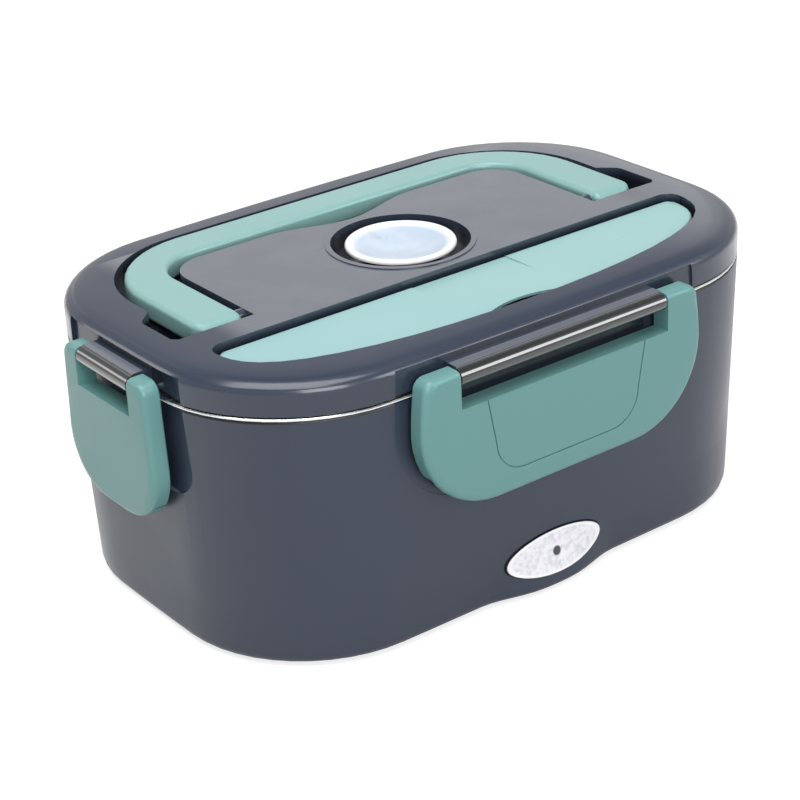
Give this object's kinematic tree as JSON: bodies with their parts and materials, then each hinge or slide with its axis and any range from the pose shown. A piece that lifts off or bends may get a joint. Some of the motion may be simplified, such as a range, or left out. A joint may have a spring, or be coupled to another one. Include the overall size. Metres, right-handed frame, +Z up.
{
  "type": "electric lunch box",
  "caption": "Heated lunch box with a steel bowl, a lift-off lid on four side latches, a fold-flat handle, a cutlery compartment and a steam vent plug.",
  "frame": {"origin": "middle of the footprint at table level, under the rubber feet", "axes": "+X along the box's length towards its right end, +Y towards the back, +Z up; the power inlet and the cutlery compartment face -Y"},
  "size_m": [0.2508, 0.1688, 0.1058],
  "materials": {
    "slate_plastic": "satin, fine moulded",
    "green_plastic": "satin",
    "black_plastic": "matt",
    "inner_plate_plastic": "satin",
    "cover_plastic": "frosted clear",
    "thermostat_case": "matt",
    "silicone": "matt translucent",
    "foot_rubber": "matt",
    "lead_sleeve": "matt",
    "bowl_steel": "brushed, bright rim",
    "screw_steel": "plain",
    "pin_metal": "nickel plated",
    "aluminium": "plain",
    "heater_ceramic": "foil wrapped"
  },
  "bodies": {
    "base": {"base_shell": "slate_plastic", "inner_liner": "black_plastic", "heating_plate": "aluminium", "ptc_heater": "heater_ceramic", "heater_clamp": "aluminium", "clamp_screws": "screw_steel", "thermostat": "thermostat_case", "thermal_fuse": "aluminium", "inlet_housing": "black_plastic", "inlet_pins": "pin_metal", "heater_leads": "lead_sleeve", "bottom_cover": "slate_plastic", "bottom_screws": "screw_steel", "rubber_feet": "foot_rubber"},
    "bowl": {"steel_bowl": "bowl_steel"},
    "lid": {"lid_shell": "slate_plastic", "lid_inner_plate": "inner_plate_plastic", "lid_seal": "silicone"},
    "handle": {"carry_handle": "green_plastic"},
    "cutlery_lid": {"cutlery_cover": "green_plastic"},
    "vent": {"vent_plug": "silicone"},
    "front_latch": {"latch_front": "green_plastic"},
    "back_latch": {"latch_back": "green_plastic"},
    "left_latch": {"latch_left": "green_plastic"},
    "right_latch": {"latch_right": "green_plastic"},
    "inlet_lid": {"socket_cover": "cover_plastic"}
  },
  "joints": [
    {"name": "lid_lift", "type": "slide", "parent": "base", "child": "lid", "axis": [0, 0, 1], "range_m": [0, 0.16]},
    {"name": "bowl_lift", "type": "slide", "parent": "base", "child": "bowl", "axis": [0, 0, 1], "range_m": [0, 0.08]},
    {"name": "handle_swing", "type": "hinge", "parent": "lid", "child": "handle", "pos_m": [0, -0.007, 0.1018], "axis": [1, 0, 0], "range_deg": [0, 90]},
    {"name": "cutlery_cover_lift", "type": "slide", "parent": "lid", "child": "cutlery_lid", "axis": [0, 0, 1], "range_m": [0, 0.03]},
    {"name": "vent_plug_pull", "type": "slide", "parent": "lid", "child": "vent", "axis": [0, 0, 1], "range_m": [0, 0.03]},
    {"name": "front_latch_swing", "type": "hinge", "parent": "lid", "child": "front_latch", "pos_m": [0, -0.0813, 0.0952], "axis": [-1, 0, 0], "range_deg": [0, 110]},
    {"name": "back_latch_swing", "type": "hinge", "parent": "lid", "child": "back_latch", "pos_m": [0, 0.0813, 0.0952], "axis": [1, 0, 0], "range_deg": [0, 110]},
    {"name": "left_latch_swing", "type": "hinge", "parent": "lid", "child": "left_latch", "pos_m": [-0.1223, 0, 0.0952], "axis": [0, 1, 0], "range_deg": [0, 110]},
    {"name": "right_latch_swing", "type": "hinge", "parent": "lid", "child": "right_latch", "pos_m": [0.1223, 0, 0.0952], "axis": [0, -1, 0], "range_deg": [0, 110]},
    {"name": "socket_cover_pull", "type": "slide", "parent": "base", "child": "inlet_lid", "axis": [0, -1, 0], "range_m": [0, 0.025]}
  ],
  "couplings": [
    {"joint": "bowl_lift", "follows": "lid_lift", "ratio": 0.5}
  ]
}
